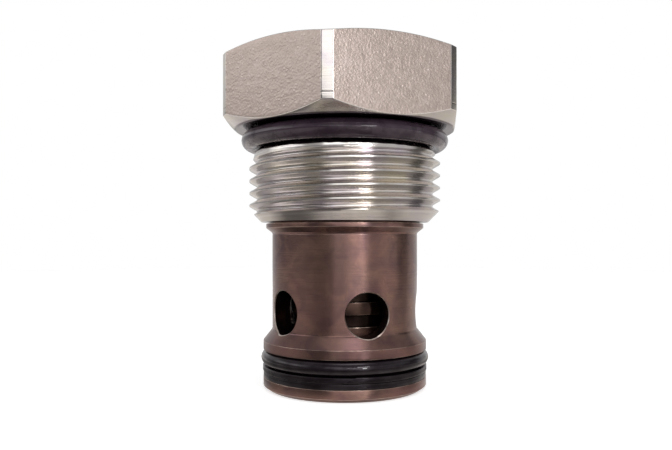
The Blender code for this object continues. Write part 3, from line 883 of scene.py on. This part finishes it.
def wmath(op, x, y=None, z=None):
    node = wn("ShaderNodeMath", operation=op)
    for v, socket in zip((x, y, z), node.inputs):
        if isinstance(v, bpy.types.NodeSocket):
            wlink(v, socket)
        elif v is not None:
            socket.default_value = v
    return node.outputs[0]


def wramp(value, stops, mode="LINEAR"):
    """Grey ramp that holds values up to 4."""
    node = wn("ShaderNodeValToRGB")
    node.color_ramp.interpolation = mode
    wlink(value, node.inputs[0])
    el = node.color_ramp.elements
    while len(el) < len(stops):
        el.new(0.5)
    for e, (p, v) in zip(el, stops):
        c = v if isinstance(v, tuple) else (v, v, v)
        e.position, e.color = p, (c[0] / 4.0, c[1] / 4.0, c[2] / 4.0, 1.0)
    return node.outputs[0]


def wmix(factor, a_, b_):
    node = wn("ShaderNodeMix", data_type="RGBA")
    wlink(factor, node.inputs[0])
    for v, socket in ((a_, node.inputs[6]), (b_, node.inputs[7])):
        if isinstance(v, bpy.types.NodeSocket):
            wlink(v, socket)
        else:
            socket.default_value = v
    return node.outputs[2]


sep = wn("ShaderNodeSeparateXYZ")
wlink(wn("ShaderNodeTexCoord").outputs["Generated"], sep.inputs[0])
# angle round the studio, from the front of the valve towards +X, as 0 to 1 with the front in the middle
azimuth = wmath("FRACT", wmath("MULTIPLY_ADD", wmath("SUBTRACT", wmath(
    "ARCTAN2", sep.outputs[0], wmath("MULTIPLY", sep.outputs[1], -1.0)), math.radians(CAMERA_AZIMUTH)),
    1.0 / (2.0 * math.pi), 0.5))


def around_studio(table):
    return wramp(azimuth, [(a_ / 360.0 + 0.5, v) for a_, v in table])


LEVEL = [(-180, 0.75), (-112, 0.26), (-84, 0.18), (-64, 0.10), (-52, 0.11), (-24, 0.12), (-18, 0.20), (-15, 1.0),
         (2, 1.15), (13, 1.9), (32, 1.7), (37, 0.44), (48, 0.36), (64, 0.56), (80, 0.50), (89, 0.18), (110, 0.14), (120, 0.60), (180, 0.75)]
RAISED = [(-180, 0.66), (-114, 0.66), (-96, 1.70), (-64, 1.70), (-48, 0.36), (-30, 0.42), (-23, 1.90), (-4, 1.90),
          (8, 0.90), (36, 0.65), (92, 0.61), (104, 0.10), (122, 0.10), (130, 0.62), (180, 0.66)]
HIGH = [(-180, 0.30), (-66, 0.60), (-44, 0.90), (-28, 1.05), (6, 2.1), (36, 2.9), (64, 0.95), (84, 0.30), (180, 0.26)]
LOW = [(-180, 0.43), (-112, 0.54), (-84, 0.46), (-64, 0.22), (-52, 0.06), (-24, 0.06), (-18, 0.12), (-15, 0.46),
       (2, 0.48), (13, 0.74), (33, 1.65), (39, 1.35), (64, 1.55), (87, 1.80), (94, 0.14), (110, 0.08), (120, 0.35),
       (180, 0.43)]
height = sep.outputs[2]
band = wmix(wramp(height, [(0.14, 0.0), (0.25, 4.0)], "EASE"), around_studio(LEVEL), around_studio(RAISED))
band = wmix(wramp(height, [(0.38, 0.0), (0.58, 4.0)], "EASE"), band, (0.10, 0.10, 0.10, 1.0))
band = wmix(wramp(height, [(0.84, 0.0), (0.90, 4.0)], "EASE"), band, around_studio(HIGH))
below = wn("ShaderNodeMapRange")
wlink(height, below.inputs["Value"])
below.inputs["From Min"].default_value, below.inputs["From Max"].default_value = -0.05, -0.01
whole = wmix(below.outputs[0], around_studio(LOW), band)
light = wn("ShaderNodeBackground")
wlink(whole, light.inputs[0])
light.inputs[1].default_value = 4.0
plain = wn("ShaderNodeBackground")
plain.inputs[0].default_value = (1.0, 1.0, 1.0, 1.0)
plain.inputs[1].default_value = 1.0
pick = wn("ShaderNodeMixShader")
wlink(wn("ShaderNodeLightPath").outputs["Is Camera Ray"], pick.inputs[0])
wlink(light.outputs[0], pick.inputs[1])
wlink(plain.outputs[0], pick.inputs[2])
wlink(pick.outputs[0], wn("ShaderNodeOutputWorld").inputs[0])


def soft_box(name, degrees, elevation, distance, wide, tall, watts, colour=(1, 1, 1)):
    """An area light that faces the valve, at an angle from the camera's azimuth."""
    lamp = bpy.data.lights.new(name, "AREA")
    lamp.shape = "RECTANGLE"
    lamp.size, lamp.size_y = wide, tall
    lamp.energy = watts
    lamp.color = colour
    obj = bpy.data.objects.new(name, lamp)
    scene.collection.objects.link(obj)
    e = math.radians(elevation)
    way = across(CAMERA_AZIMUTH + degrees)
    at = Vector((way.x * math.cos(e), way.y * math.cos(e), math.sin(e))) * distance + Vector((0, 0, 0.028))
    obj.location = at
    obj.rotation_euler = (Vector((0, 0, 0.028)) - at).to_track_quat("-Z", "Y").to_euler()
    obj.visible_camera = False
    return obj


soft_box("accent", 26.0, 22.0, 0.50, 0.13, 0.07, 0.24)
soft_box("strip", 15.0, 12.5, 0.50, 0.20, 0.008, 0.06)
soft_box("glint", 26.5, 10.0, 0.50, 0.045, 0.020, 0.07)

cam_data = bpy.data.cameras.new("camera")
camera = bpy.data.objects.new("camera", cam_data)
scene.collection.objects.link(camera)
camera.location = across(CAMERA_AZIMUTH) * (CAMERA_DISTANCE * MM) + Vector((0, 0, CAMERA_HEIGHT * MM))
camera.rotation_euler = (math.radians(90.0), 0.0, math.radians(CAMERA_AZIMUTH))
cam_data.sensor_width = 36.0
cam_data.lens = FOCAL_PX / 672.0 * 36.0
cam_data.shift_x = -8.75 / 672.0
cam_data.shift_y = 16.0 / 672.0
cam_data.clip_start, cam_data.clip_end = 0.002, 20.0
scene.camera = camera
scene.view_settings.view_transform = "Standard"
scene.view_settings.look = "None"
